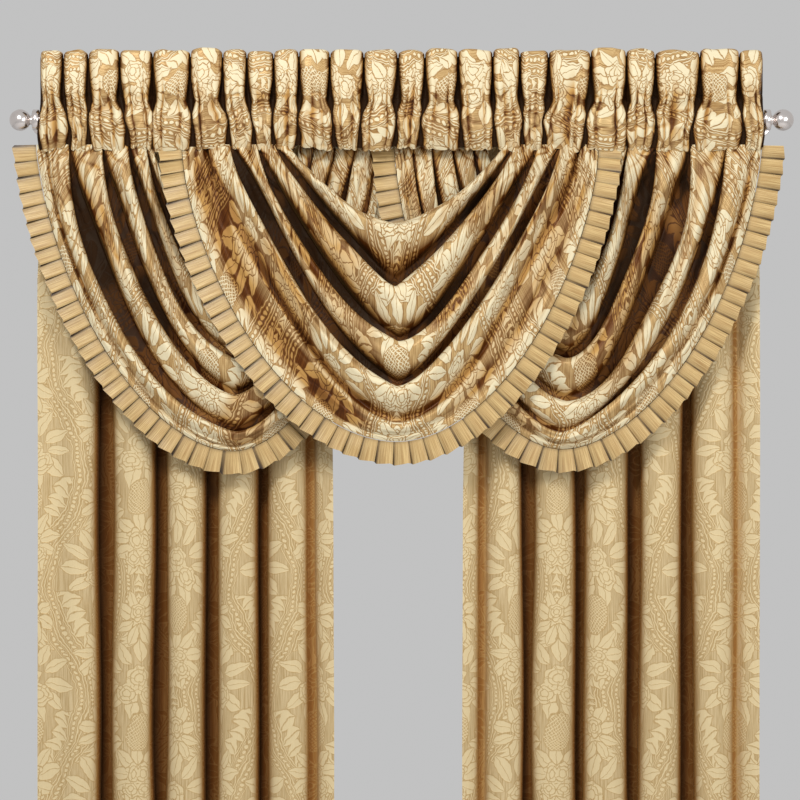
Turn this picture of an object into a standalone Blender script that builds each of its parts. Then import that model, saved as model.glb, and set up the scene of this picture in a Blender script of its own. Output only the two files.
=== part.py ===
"""Swag and tail drape: three overlapping cowl swags with a knife-pleated trim, gathered on a rod
with ball finials, and two long tail panels on a second rod behind them.

Metres, +Z up, the front towards -Y. The origin is on the wall, midway between the two brackets
and level with the front rod.
"""

import math
from collections import namedtuple

import bmesh
import bpy
import numpy as np
from mathutils import Matrix, Vector

# How far each layer stands in front of the wall.
FRONT_ROD_OUT = 0.155
REAR_ROD_OUT = 0.070

# Hardware.
FRONT_ROD_R = 0.016
FRONT_ROD_HALF = 0.7815
REAR_ROD_R = 0.008
FINIAL_R = 0.0228
FINIAL_NECK_R = 0.0105
FINIAL_NECK_LONG = 0.006
BRACKET_X = 0.7745
RING_R = 0.0225
RING_WIDE = 0.014
WALL_PLATE_R = 0.024
WALL_PLATE_THICK = 0.006
ARM_WIDE = 0.012
ARM_TALL = 0.018
SOCKET_R = 0.0125
SOCKET_LONG = 0.016
SOCKET_SUNK = 0.002
ARM_END_GAP = 0.003
CUT_PAST = 0.010
RECESS_LONG = 0.040

# Cloth. The swags and panels hang a little to the left of the rods' middle.
HANG_X = -0.0066
CLOTH_THICK = 0.0016
PANEL_THICK = 0.0016
CLEAR = 0.0003
SEAM_GAP = 0.0022
SEAM_Z = -0.0525
TRIM_WIDE = 0.049
PLEAT_PITCH = 0.0335
PLEAT_RISE = 0.0045
PLEAT_FACE = 0.93
PLEAT_AT_SEAM = 0.35
PANEL_LONG = 2.11
NECK_ROLL = 0.35
NECK_BACK = 0.026
TUCK_UP = 0.078
CREST_BREADTH = 0.70
PANEL_BREADTH = 0.72

# One crest of a swag. left, right: where it leaves the heading; low_x, low_z: its lowest point;
# point: how pointed it is there, 1 being round; slant: how far from upright it leaves the heading;
# lift: its height as a share of a full fold; dip: how deep the cloth falls before the next crest,
# as a share of a full fold.
Crest = namedtuple("Crest", "left low_x low_z right point slant lift dip")

# Where the layers of a swag stand in front of the wall, at its left end, lowest point and right
# end. top: along the heading; hang: the valleys below it; full: how far the crests stand proud.
Depths = namedtuple("Depths", "top hang full")

Swag = namedtuple("Swag", "name crests left low right tuck_left tuck_right")

SWAG_LEFT = Swag(
    name="left",
    crests=(
        Crest(-0.760, -0.351, -0.701, -0.004, 1.10, 1.30, 0.30, 0.12),
        Crest(-0.716, -0.349, -0.672, -0.029, 1.20, 1.25, 0.90, 0.90),
        Crest(-0.648, -0.344, -0.596, -0.076, 1.20, 1.40, 1.00, 1.00),
        Crest(-0.588, -0.346, -0.522, -0.118, 1.20, 1.50, 1.00, 1.00),
        Crest(-0.543, -0.349, -0.430, -0.162, 1.25, 1.45, 0.95, 0.90),
        Crest(-0.523, -0.349, -0.298, -0.208, 1.30, 1.60, 0.70, 0.00),
    ),
    left=Depths(0.157, 0.131, 0.047),
    low=Depths(0.157, 0.129, 0.047),
    right=Depths(0.1165, 0.117, 0.014),
    tuck_left=False,
    tuck_right=True,
)
SWAG_RIGHT = Swag(
    name="right",
    crests=(
        Crest(-0.008, 0.346, -0.697, 0.756, 1.10, 1.25, 0.30, 0.12),
        Crest(0.017, 0.349, -0.668, 0.714, 1.20, 1.25, 0.90, 0.90),
        Crest(0.055, 0.353, -0.605, 0.643, 1.20, 1.20, 1.00, 0.95),
        Crest(0.097, 0.353, -0.522, 0.573, 1.20, 1.50, 1.00, 1.00),
        Crest(0.143, 0.349, -0.430, 0.497, 1.20, 1.40, 0.95, 0.90),
        Crest(0.185, 0.344, -0.298, 0.476, 1.30, 1.60, 0.70, 0.00),
    ),
    left=Depths(0.1235, 0.143, 0.014),
    low=Depths(0.157, 0.129, 0.047),
    right=Depths(0.157, 0.131, 0.047),
    tuck_left=True,
    tuck_right=False,
)
SWAG_CENTRE = Swag(
    name="centre",
    crests=(
        Crest(-0.458, -0.004, -0.680, 0.423, 1.05, 1.30, 0.15, 0.12),
        Crest(-0.424, -0.004, -0.650, 0.400, 1.15, 1.50, 0.50, 0.45),
        Crest(-0.378, -0.004, -0.590, 0.355, 1.35, 1.90, 0.95, 1.00),
        Crest(-0.316, -0.004, -0.495, 0.319, 1.35, 1.75, 1.00, 1.00),
        Crest(-0.276, -0.004, -0.370, 0.260, 1.50, 1.80, 1.00, 0.95),
        Crest(-0.239, -0.004, -0.218, 0.228, 1.30, 1.90, 0.90, 0.00),
    ),
    left=Depths(0.159, 0.190, 0.055),
    low=Depths(0.159, 0.190, 0.055),
    right=Depths(0.159, 0.190, 0.055),
    tuck_left=False,
    tuck_right=False,
)

# The gathered puffs of each heading, from left to right: the widths.
PUFFS_LEFT = (0.049, 0.053, 0.066, 0.070)
PUFFS_CENTRE = (
    0.080, 0.068, 0.051, 0.057, 0.053, 0.066, 0.072, 0.072,
    0.057, 0.070, 0.074, 0.057, 0.061, 0.089, 0.075,
)
PUFFS_RIGHT = (0.057, 0.095, 0.083, 0.050)
HEADING_LEFT_X = -0.7655
HEADING_GAP = 0.003

# The section of a heading around the rod: out and up from the rod's axis, and how far a puff
# swells it outwards and lifts it.
Station = namedtuple("Station", "out up swell rise")
HEADING_SECTION = (
    Station(0.0040, -0.0507, 0.004, 0.000),
    Station(0.0200, -0.0220, 0.006, 0.000),
    Station(0.0210, 0.0050, 0.005, 0.000),
    Station(0.0040, 0.0187, 0.000, 0.000),
    Station(0.0035, 0.0480, 0.024, 0.000),
    Station(0.0035, 0.1100, 0.028, 0.006),
    Station(0.0000, 0.1380, 0.008, 0.011),
    Station(-0.0040, 0.0900, -0.013, 0.000),
    Station(-0.0040, 0.0187, 0.000, 0.000),
    Station(-0.0210, 0.0050, 0.000, 0.000),
    Station(-0.0190, -0.0220, 0.000, 0.000),
)

# The forward folds of a tail panel: the middle of each, and the depth to the next.
PanelFold = namedtuple("PanelFold", "x dip")
PANEL_LEFT_FOLDS = (
    PanelFold(-0.766, 0.10),
    PanelFold(-0.685, 1.00),
    PanelFold(-0.566, 1.00),
    PanelFold(-0.454, 1.00),
    PanelFold(-0.344, 0.95),
    PanelFold(-0.231, 0.20),
    PanelFold(-0.147, 0.00),
)
PANEL_RIGHT_FOLDS = (
    PanelFold(0.132, 0.20),
    PanelFold(0.222, 0.90),
    PanelFold(0.331, 1.00),
    PanelFold(0.441, 1.00),
    PanelFold(0.552, 1.00),
    PanelFold(0.662, 0.20),
    PanelFold(0.752, 0.00),
)

# How a panel hangs, from the hem up and over the rear rod. up: height; out: its folds' crests
# from the rod's axis; depth: how deep a full fold is there; swell: the gathers on the rod.
PanelRow = namedtuple("PanelRow", "up out depth swell")
PANEL_ROWS = (
    PanelRow(0.010 - PANEL_LONG, 0.034, 0.064, 0.0),
    PanelRow(-0.550, 0.033, 0.062, 0.0),
    PanelRow(-0.250, 0.029, 0.050, 0.0),
    PanelRow(-0.110, 0.021, 0.024, 0.0),
    PanelRow(-0.0380, 0.0115, 0.0055, 0.0),
    PanelRow(-0.0100, 0.0130, 0.0, 0.003),
    PanelRow(0.0060, 0.0105, 0.0, 0.003),
    PanelRow(0.0098, 0.0000, 0.0, 0.0),
    PanelRow(0.0060, -0.0105, 0.0, -0.003),
    PanelRow(-0.0100, -0.0130, 0.0, -0.003),
    PanelRow(-0.0385, 0.0020, 0.0, 0.0),
)


def clear_scene():
    """Removes the objects that a new file starts with."""
    for old in list(bpy.data.objects):
        bpy.data.objects.remove(old, do_unlink=True)


def make_collection(name):
    made = bpy.data.collections.new(name)
    bpy.context.scene.collection.children.link(made)
    return made


def make_material(name, colour, roughness, metallic=0.0):
    made = bpy.data.materials.new(name)
    made.use_nodes = True
    shader = made.node_tree.nodes["Principled BSDF"]
    shader.inputs["Base Color"].default_value = (*colour, 1.0)
    shader.inputs["Roughness"].default_value = roughness
    shader.inputs["Metallic"].default_value = metallic
    return made


def ease(x):
    """0 below 0, 1 above 1, and a smooth step between."""
    x = np.clip(x, 0.0, 1.0)
    return x * x * (3.0 - 2.0 * x)


def through_rows(rows, s):
    """Values at the fractional row numbers s: a smooth curve through the rows, straight past them."""
    rows = np.asarray(rows, float)
    slope = np.gradient(rows)
    k = np.clip(np.floor(s).astype(int), 0, len(rows) - 2)
    t = s - k
    inside = np.clip(t, 0.0, 1.0)
    h = inside * inside * (3.0 - 2.0 * inside)
    value = (
        rows[k] * (1.0 - h)
        + rows[k + 1] * h
        + slope[k] * inside * (1.0 - inside) ** 2
        - slope[k + 1] * (1.0 - inside) * inside**2
    )
    return value + (t - inside) * np.where(t > inside, rows[k + 1] - rows[k], slope[k])


def swag_surface(swag, theta, v):
    """Points of a swag. theta runs along the folds, from 0 at the left end over a quarter turn at
    the lowest point to a half turn at the right end; v runs across them, one for each crest.

    Each crest hangs as half of a superellipse. Between two crests the cloth follows a trochoid,
    so that the crests are broad rolls and the valleys narrow, and the valleys lie nearer to the
    crest below. Past the last crest the neckline turns over to the back."""
    last = len(swag.crests) - 1
    column = {name: [getattr(c, name) for c in swag.crests] for name in Crest._fields}
    k = np.clip(np.floor(v), 0, last - 1)
    phase = np.clip(v - k, 0.0, 1.0)
    over = np.clip((v - last) / NECK_ROLL, 0.0, 1.0)
    dip = np.array(column["dip"])[k.astype(int)] * (v < last)
    fall = (1.0 - np.cos(2.0 * np.pi * phase)) / 2.0
    low = np.sin(theta) ** 6
    breadth = CREST_BREADTH * dip
    down = (0.10 + 0.20 * low) * np.minimum(dip, 1.0)
    s = k + phase + breadth * np.sin(2.0 * np.pi * phase) / (2.0 * np.pi) - down * fall
    s = np.where(v > last, last + 0.10 * np.sin(np.pi * over / 2.0), s)

    left, right = through_rows(column["left"], s), through_rows(column["right"], s)
    low_x, low_z = through_rows(column["low_x"], s), through_rows(column["low_z"], s)
    point = through_rows(column["point"], s) + 0.30 * fall * dip
    slant = through_rows(column["slant"], s)
    across = np.abs(np.cos(theta)) ** point
    end = np.where(theta < np.pi / 2.0, left, right)
    x = HANG_X + low_x + (end - low_x) * across
    z = SEAM_Z + (low_z - SEAM_Z) * np.abs(np.sin(theta)) ** slant

    at_end = np.cos(theta) ** 2
    stations = (swag.left, swag.low, swag.right)
    share = (
        at_end * (theta < np.pi / 2.0),
        1.0 - at_end,
        at_end * (theta >= np.pi / 2.0),
    )
    end_share = (np.cos(theta / 2.0) ** 2, 0.0, np.sin(theta / 2.0) ** 2)
    top = sum(w * d.top for w, d in zip(end_share, stations))
    hang = sum(w * d.hang for w, d in zip(share, stations))
    full = sum(w * d.full for w, d in zip(share, stations))
    drop = SEAM_Z - z
    valley = top + (hang - top) * ease(drop / 0.09)
    proud = 0.005 + (full - 0.005) * ease(drop / 0.13)
    lift = through_rows(column["lift"], np.minimum(s, last))
    out = valley + proud * lift * (1.0 - np.minimum(dip, 1.0) * fall)
    out = out - NECK_BACK * ease(drop / 0.05) * (1.0 - np.cos(np.pi * over / 2.0))
    return np.stack([x, -out, z], axis=-1)


def swag_grid(swag, along, per_fold):
    """The swag's open sheet as a grid of points, tucked up behind the rod where it is."""
    last = len(swag.crests) - 1
    v = np.concatenate([[0.0, 0.5], np.arange(per_fold * (last - 1)) / per_fold + 1.0])
    v = np.concatenate([v, [last, last + NECK_ROLL / 2.0, last + NECK_ROLL]])
    theta = np.linspace(0.0, np.pi, along + 1)
    grid = swag_surface(swag, *np.meshgrid(theta, v, indexing="ij"))
    tuck = np.array([0.0, 0.0, TUCK_UP])
    if swag.tuck_left:
        grid = np.concatenate([grid[:1] + tuck, grid])
    if swag.tuck_right:
        grid = np.concatenate([grid, grid[-1:] + tuck])
    return grid


def trim_grid(swag):
    """The knife-pleated trim as an open sheet: along the swag's lower edge, each pleat rises
    slowly and drops at its fold, and the ribbon reaches outwards from the seam."""
    theta = np.linspace(0.0, np.pi, 800)
    seam = swag_surface(swag, theta, np.zeros_like(theta))
    walked = np.concatenate([[0.0], np.cumsum(np.linalg.norm(np.diff(seam, axis=0), axis=1))])
    pleats = round(walked[-1] / PLEAT_PITCH)
    pitch = walked[-1] / pleats
    start = np.arange(pleats) * pitch
    at = np.stack([start, start + PLEAT_FACE * pitch], axis=1).ravel()
    at = np.append(at, walked[-1])
    rise = np.tile([0.0, 1.0], pleats)
    rise = np.append(rise, 0.0)
    path = np.stack([np.interp(at, walked, seam[:, i]) for i in range(3)], axis=1)
    near = pitch / 8.0
    ahead = np.stack([np.interp(at + near, walked, seam[:, i]) for i in range(3)], axis=1)
    behind = np.stack([np.interp(at - near, walked, seam[:, i]) for i in range(3)], axis=1)
    run = ahead - behind
    outward = np.stack([run[:, 2], np.zeros(len(at)), -run[:, 0]], axis=1)
    outward /= np.linalg.norm(outward, axis=1)[:, None]
    rows = []
    for reach, share in ((SEAM_GAP, PLEAT_AT_SEAM), (TRIM_WIDE, 1.0)):
        lifted = np.array([0.0, -1.0, 0.0]) * (PLEAT_RISE * share * rise)[:, None]
        rows.append(path + outward * reach + lifted)
    return np.stack(rows, axis=1)


def heading_grid(first_x, puffs):
    """A heading as a tube of cloth round the rod: the section is carried from puff to puff, and
    swells between the creases as a half circle does."""
    share = np.array([0.0, 0.30, 0.70])
    edges = first_x + np.concatenate([[0.0], np.cumsum(puffs)])
    x = np.append((edges[:-1, None] + share * np.array(puffs)[:, None]).ravel(), edges[-1])
    swell = np.append(np.tile(np.sqrt(4.0 * share * (1.0 - share)), len(puffs)), 0.0)
    out = np.array([s.out for s in HEADING_SECTION])
    up = np.array([s.up for s in HEADING_SECTION])
    gain = np.array([s.swell for s in HEADING_SECTION])
    rise = np.array([s.rise for s in HEADING_SECTION])
    y = -(FRONT_ROD_OUT + out + gain * swell[:, None])
    z = up + rise * swell[:, None]
    return np.stack([np.broadcast_to(x[:, None], y.shape), y, z], axis=-1)


def panel_grid(folds, per_fold, edge_x):
    """A tail panel as an open sheet: broad flat folds with narrow valleys that hang from the rear
    rod, where the cloth is gathered and turned over to the back. edge_x is the outer edge's place
    on the rod, drawn in to clear the bracket."""
    last = len(folds) - 1
    v = [np.arange(per_fold) / per_fold + k for k in range(last)]
    v = np.append(np.concatenate(v), last)
    k = np.clip(np.floor(v), 0, last - 1).astype(int)
    phase = v - k
    dip = np.array([f.dip for f in folds])[k]
    fall = (1.0 - np.cos(2.0 * np.pi * phase)) / 2.0
    s = k + phase + PANEL_BREADTH * dip * np.sin(2.0 * np.pi * phase) / (2.0 * np.pi)
    x = HANG_X + np.interp(s, np.arange(last + 1), [f.x for f in folds])
    inner, outer = sorted((x[0], x[-1]), key=abs)
    rows = []
    for row in PANEL_ROWS:
        drawn = inner + (x - inner) * (edge_x - inner) / (outer - inner)
        hung = ease((-row.up - 0.04) / 0.30)
        out = REAR_ROD_OUT + row.out - row.depth * dip * fall + row.swell * (1.0 - dip * fall)
        rows.append(np.stack([drawn + (x - drawn) * hung, -out, np.full(len(x), row.up)], -1))
    return np.stack(rows, axis=1)


def grid_mesh(name, grid, wrap):
    """A mesh of quads on a grid of points; wrap joins the last column to the first."""
    along, across = grid.shape[:2]
    index = np.arange(along * across).reshape(along, across)
    if wrap:
        index = np.concatenate([index, index[:, :1]], axis=1)
    corners = (index[:-1, :-1], index[1:, :-1], index[1:, 1:], index[:-1, 1:])
    faces = np.stack(corners, axis=-1).reshape(-1, 4)
    mesh = bpy.data.meshes.new(name)
    mesh.from_pydata(grid.reshape(-1, 3).tolist(), [], faces.tolist())
    mesh.update()
    return mesh


def sheet_object(name, grid, thick, material, collection, wrap=False):
    """A sheet of cloth: an open surface with Solidify giving it its thickness."""
    made = bpy.data.objects.new(name, grid_mesh(name, grid, wrap))
    collection.objects.link(made)
    made.data.materials.append(material)
    made.data.shade_smooth()
    wall = made.modifiers.new("thickness", "SOLIDIFY")
    wall.thickness = thick
    wall.offset = 0.0
    return made


def turned_object(name, profile, centre, axis, material, collection):
    """A turned piece: the profile (distance along the axis, radius) carried round the axis."""
    mesh = bpy.data.meshes.new(name)
    points = [(radius, 0.0, along) for along, radius in profile]
    mesh.from_pydata(points, [(i, i + 1) for i in range(len(points) - 1)], [])
    made = bpy.data.objects.new(name, mesh)
    collection.objects.link(made)
    made.data.materials.append(material)
    turn = made.modifiers.new("turn", "SCREW")
    turn.steps = turn.render_steps = 16
    turn.use_merge_vertices = True
    turn.merge_threshold = 0.00001
    turn.use_normal_calculate = True
    made.location = centre
    made.rotation_mode = "QUATERNION"
    made.rotation_quaternion = Vector((0.0, 0.0, 1.0)).rotation_difference(Vector(axis))
    return made


def cylinder(centre, axis, radius, length, sides):
    """A bmesh cylinder about a point, along an axis."""
    shape = bmesh.new()
    turned = Vector((0.0, 0.0, 1.0)).rotation_difference(Vector(axis)).to_matrix().to_4x4()
    place = Matrix.Translation(centre) @ turned
    bmesh.ops.create_cone(
        shape, cap_ends=True, segments=sides, radius1=radius, radius2=radius,
        depth=length, matrix=place,
    )
    return shape


def block(low, high):
    """A bmesh box between two corners."""
    shape = bmesh.new()
    size = Vector(high) - Vector(low)
    place = Matrix.Translation((Vector(low) + Vector(high)) / 2.0) @ Matrix.Diagonal((*size, 1.0))
    bmesh.ops.create_cube(shape, size=1.0, matrix=place)
    return shape


def solid_object(name, shape, collection, material=None):
    """A bmesh turned into a named object."""
    mesh = bpy.data.meshes.new(name)
    shape.to_mesh(mesh)
    shape.free()
    made = bpy.data.objects.new(name, mesh)
    collection.objects.link(made)
    if material:
        made.data.materials.append(material)
    return made


def combine(target, helper, operation):
    """Adds or takes away a helper shape, which isn't itself part of the object."""
    step = target.modifiers.new(helper.name, "BOOLEAN")
    step.operation = operation
    step.object = helper
    helper.hide_render = True
    helper.display_type = "WIRE"


def make_rods(metal, collection):
    """The thick front rod through the swags' headings and the thin rear rod of the panels."""
    front = cylinder((0, -FRONT_ROD_OUT, 0), (1, 0, 0), FRONT_ROD_R, 2 * FRONT_ROD_HALF, 20)
    rear_half = BRACKET_X - ARM_WIDE / 2.0 - CLEAR
    rear = cylinder((0, -REAR_ROD_OUT, 0), (1, 0, 0), REAR_ROD_R, 2 * rear_half, 14)
    for name, shape in (("rod_front", front), ("rod_rear", rear)):
        solid_object(name, shape, collection, metal).data.shade_smooth()


def finial_profile():
    """The outline of a ball finial from the neck's face to the far pole: along, radius."""
    neck_end = FINIAL_NECK_LONG
    start = math.asin(FINIAL_NECK_R / FINIAL_R)
    centre = neck_end + FINIAL_R * math.cos(start)
    arc = [start + (math.pi - start) * i / 8 for i in range(9)]
    ball = [(centre - FINIAL_R * math.cos(a), FINIAL_R * math.sin(a)) for a in arc]
    ball[-1] = (centre + FINIAL_R, 0.0)
    return [(0.0, 0.0), (0.0, FINIAL_NECK_R), *ball]


def make_finials(metal, collection):
    for side, name in ((-1, "finial_left"), (1, "finial_right")):
        centre = (side * (FRONT_ROD_HALF + CLEAR), -FRONT_ROD_OUT, 0)
        turned_object(name, finial_profile(), centre, (side, 0, 0), metal, collection)


def make_brackets(metal, collection, helpers):
    """Each bracket is one casting: a round wall plate, an arm, a ring that the front rod passes
    through, and a socket on its inner side that takes the end of the rear rod."""
    for side, name in ((-1, "bracket_left"), (1, "bracket_right")):
        x = side * BRACKET_X
        ring = cylinder((x, -FRONT_ROD_OUT, 0), (1, 0, 0), RING_R, RING_WIDE, 24)
        bracket = solid_object(name, ring, collection, metal)
        arm_far = -(FRONT_ROD_OUT - FRONT_ROD_R - ARM_END_GAP)
        arm = block(
            (x - ARM_WIDE / 2, arm_far, -ARM_TALL / 2),
            (x + ARM_WIDE / 2, -WALL_PLATE_THICK / 2, ARM_TALL / 2),
        )
        plate = cylinder(
            (x, -WALL_PLATE_THICK / 2, 0), (0, 1, 0), WALL_PLATE_R, WALL_PLATE_THICK, 24
        )
        inner_face = x - side * ARM_WIDE / 2
        socket = cylinder(
            (inner_face - side * (SOCKET_LONG / 2 - SOCKET_SUNK), -REAR_ROD_OUT, 0),
            (1, 0, 0), SOCKET_R, SOCKET_LONG, 16,
        )
        for part, shape in (("arm", arm), ("plate", plate), ("socket", socket)):
            combine(bracket, solid_object(f"{name}_{part}", shape, helpers), "UNION")
        bore = cylinder(
            (x, -FRONT_ROD_OUT, 0), (1, 0, 0), FRONT_ROD_R + CLEAR, RING_WIDE + CUT_PAST, 24
        )
        recess = cylinder(
            (inner_face - side * RECESS_LONG / 2, -REAR_ROD_OUT, 0), (1, 0, 0),
            REAR_ROD_R + CLEAR, RECESS_LONG, 16,
        )
        for part, shape in (("bore", bore), ("recess", recess)):
            combine(bracket, solid_object(f"{name}_{part}", shape, helpers), "DIFFERENCE")


def make_headings(cloth, collection):
    """The ruffled rod-pocket headings, side by side along the front rod."""
    x = HEADING_LEFT_X
    for name, puffs in (("left", PUFFS_LEFT), ("centre", PUFFS_CENTRE), ("right", PUFFS_RIGHT)):
        grid = heading_grid(x, puffs)
        sheet_object(f"heading_{name}", grid, CLOTH_THICK, cloth, collection, wrap=True)
        x += sum(puffs) + HEADING_GAP


def make_swags(cloth, trim_cloth, collection):
    for swag, along in ((SWAG_LEFT, 18), (SWAG_CENTRE, 20), (SWAG_RIGHT, 18)):
        grid = swag_grid(swag, along, 5)
        sheet_object(f"swag_{swag.name}", grid, CLOTH_THICK, cloth, collection)
        trim = trim_grid(swag)
        sheet_object(f"trim_{swag.name}", trim, CLOTH_THICK, trim_cloth, collection)


def make_panels(cloth, collection):
    edge = BRACKET_X - ARM_WIDE / 2.0 - SOCKET_LONG
    for name, folds, side in (("left", PANEL_LEFT_FOLDS, -1), ("right", PANEL_RIGHT_FOLDS, 1)):
        grid = panel_grid(folds, 5, side * edge)
        sheet_object(f"panel_{name}", grid, PANEL_THICK, cloth, collection)


def main():
    clear_scene()
    drape = make_collection("swag_and_tail_drape")
    helpers = make_collection("helpers")
    nickel = make_material("polished_nickel", (0.82, 0.79, 0.76), 0.15, 1.0)
    damask = make_material("gold_damask", (0.62, 0.44, 0.21), 0.45)
    slub = make_material("gold_slub_trim", (0.55, 0.38, 0.18), 0.5)
    make_rods(nickel, drape)
    make_finials(nickel, drape)
    make_brackets(nickel, drape, helpers)
    make_headings(damask, drape)
    make_swags(damask, slub, drape)
    make_panels(damask, drape)


main()
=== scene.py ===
import math
from collections import namedtuple
from functools import partial

import bpy
import numpy as np
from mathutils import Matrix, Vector


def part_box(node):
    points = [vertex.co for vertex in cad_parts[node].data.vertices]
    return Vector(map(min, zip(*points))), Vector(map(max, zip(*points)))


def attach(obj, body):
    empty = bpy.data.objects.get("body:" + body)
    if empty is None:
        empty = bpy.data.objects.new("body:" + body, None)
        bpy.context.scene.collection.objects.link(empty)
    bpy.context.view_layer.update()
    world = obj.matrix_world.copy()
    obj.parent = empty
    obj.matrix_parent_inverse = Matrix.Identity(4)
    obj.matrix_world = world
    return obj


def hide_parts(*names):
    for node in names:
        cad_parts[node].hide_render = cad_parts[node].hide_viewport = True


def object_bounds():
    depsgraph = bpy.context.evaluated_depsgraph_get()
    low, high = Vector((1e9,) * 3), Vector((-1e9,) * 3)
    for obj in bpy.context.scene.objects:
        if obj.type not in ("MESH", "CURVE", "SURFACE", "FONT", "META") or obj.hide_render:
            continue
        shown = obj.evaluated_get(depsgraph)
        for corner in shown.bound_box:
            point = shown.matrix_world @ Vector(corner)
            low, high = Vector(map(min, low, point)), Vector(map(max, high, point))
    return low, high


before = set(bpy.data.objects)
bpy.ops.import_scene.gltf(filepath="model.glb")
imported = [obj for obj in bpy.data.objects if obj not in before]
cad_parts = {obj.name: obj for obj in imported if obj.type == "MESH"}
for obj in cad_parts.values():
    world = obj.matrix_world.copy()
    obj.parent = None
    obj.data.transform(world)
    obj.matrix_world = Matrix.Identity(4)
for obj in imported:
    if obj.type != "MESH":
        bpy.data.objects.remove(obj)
cad_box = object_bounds()

# A drape of three overlapping swags with pleated trim, over two long tail panels. The script
# follows it as it is put up: brackets and rods, the panels, the headings, the swags, the trim.


# Brackets, rods and finials.
# They are steel tube and zinc castings, polished and then plated with nickel, which leaves a pale,
# faintly pink mirror with fine polishing marks. The brackets are screwed to the wall, the front
# rod goes through their rings, and the thin rear rod sits in the sockets on their arms.

FRONT_RADIUS = 0.016
REAR_RADIUS = 0.008
ROD_OUT = -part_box("rod_front")[0][1] - FRONT_RADIUS
REAR_OUT = -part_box("rod_rear")[0][1] - REAR_RADIUS
ROD_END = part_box("rod_front")[1][0]
REAR_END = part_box("rod_rear")[1][0]
BRACKET_X = (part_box("bracket_right")[0][0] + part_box("bracket_right")[1][0]) / 2.0
NICKEL = "#F4EDE9"
NICKEL_RUBBED = "#DDD3CE"
TURNED_STEPS = 72


def linear(code):
    """A colour's sRGB hex code as linear red, green, blue and alpha."""
    parts = [int(code[i : i + 2], 16) / 255.0 for i in (1, 3, 5)]
    return [c / 12.92 if c <= 0.04045 else ((c + 0.055) / 1.055) ** 2.4 for c in parts] + [1.0]


def add_node(tree, kind, *values, out=0, **settings):
    """Adds a node. kind is its type, with its operation after a space where it has one. values
    fill its inputs in order, each a number, a colour or a link. Returns one of its outputs."""
    name, _, operation = kind.partition(" ")
    made = tree.nodes.new("ShaderNode" + name)
    if operation:
        made.operation = operation
    for key, value in settings.items():
        setattr(made, key, value)
    for socket, value in zip(made.inputs, values):
        if isinstance(value, bpy.types.NodeSocket):
            tree.links.new(value, socket)
        elif value is not None:
            socket.default_value = value
    return made.outputs[out]


def new_material(name, **sockets):
    """A material and its Principled shader, with the sockets that are the same all over."""
    made = bpy.data.materials.new(name)
    made.use_nodes = True
    shader = made.node_tree.nodes["Principled BSDF"]
    for key, value in sockets.items():
        shader.inputs[key.replace("_", " ")].default_value = value
    return made, made.node_tree, shader


def surface_mesh(name, grids, closed=(False, False)):
    """One mesh of quads from grids of points; closed joins a grid's last row or column to its
    first. A normal points to the right of the first index and away from the second."""
    points, faces, start = [], [], 0
    for grid in grids:
        rows, columns = grid.shape[:2]
        index = start + np.arange(rows * columns).reshape(rows, columns)
        if closed[0]:
            index = np.concatenate([index, index[:1]])
        if closed[1]:
            index = np.concatenate([index, index[:, :1]], axis=1)
        corners = (index[:-1, :-1], index[1:, :-1], index[1:, 1:], index[:-1, 1:])
        faces.append(np.stack(corners, axis=-1).reshape(-1, 4))
        points.append(grid.reshape(-1, 3))
        start += rows * columns
    mesh = bpy.data.meshes.new(name)
    mesh.from_pydata(np.concatenate(points), [], np.concatenate(faces))
    mesh.shade_smooth()
    return mesh


def place_piece(mesh, material, slot, *nodes):
    """An object for a finished mesh, which rides on the root and stands for the CAD nodes."""
    made = bpy.data.objects.new(mesh.name, mesh)
    bpy.context.scene.collection.objects.link(made)
    mesh.materials.append(material)
    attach(made, "root")
    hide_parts(*nodes)
    return made


def turned(profile, centre, along):
    """A turned form: each (distance, radius) of the profile goes round the line through the
    centre in the direction along, x or y."""
    distance, radius = np.array(profile, float).T
    angle = np.linspace(0.0, 2.0 * np.pi, TURNED_STEPS, endpoint=False)
    a, b = np.cos(angle), np.sin(angle)
    line = np.broadcast_to(distance[:, None], (len(distance), TURNED_STEPS))
    ring = (line, radius[:, None] * a, radius[:, None] * b)
    order = {"x": (0, 1, 2), "y": (1, 0, 2)}[along]
    return np.array(centre) + np.stack([ring[i] for i in order], axis=-1)


def rounded_end(x, radius, bevel, inwards):
    """The profile of a flat end with a rounded edge, from its middle outwards."""
    turn = np.linspace(0.0, np.pi / 2.0, 6)
    ends = [
        (x + inwards * bevel * (1.0 - math.cos(t)), radius - bevel * (1.0 - math.sin(t)))
        for t in turn
    ]
    return [(x, 0.0), *ends]


def rod_profile(low, high, radius, bevel):
    """A plain rod with rounded ends."""
    far = rounded_end(high, radius, bevel, -1.0)
    return rounded_end(low, radius, bevel, 1.0) + far[::-1]


def plated_nickel():
    """Polished nickel plate: a mirror with faint cloudy marks from the polishing wheel."""
    made, tree, shader = new_material("polished_nickel_plate", Metallic=1.0)
    add = partial(add_node, tree)
    where = add("TexCoord", out=3)
    cloud = add("TexNoise", where, None, 60.0, 4.0)
    rub = add("TexNoise", where, None, 900.0, 2.0)
    tone = add("MixRGB", cloud, linear(NICKEL), linear(NICKEL_RUBBED))
    rough = add("MapRange", rub, 0.35, 0.65, 0.16, 0.26)
    tree.links.new(tone, shader.inputs["Base Color"])
    tree.links.new(rough, shader.inputs["Roughness"])
    relief = add("Bump", 0.05, 0.0002, None, rub)
    tree.links.new(relief, shader.inputs["Normal"])
    return made


nickel = plated_nickel()
front = turned(rod_profile(-ROD_END, ROD_END, FRONT_RADIUS, 0.0015), (0, -ROD_OUT, 0), "x")
rear = turned(rod_profile(-REAR_END, REAR_END, REAR_RADIUS, 0.001), (0, -REAR_OUT, 0), "x")
place_piece(surface_mesh("front_rod", [front], (False, True)), nickel, "nickel", "rod_front")
place_piece(surface_mesh("rear_rod", [rear], (False, True)), nickel, "nickel", "rod_rear")


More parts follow.
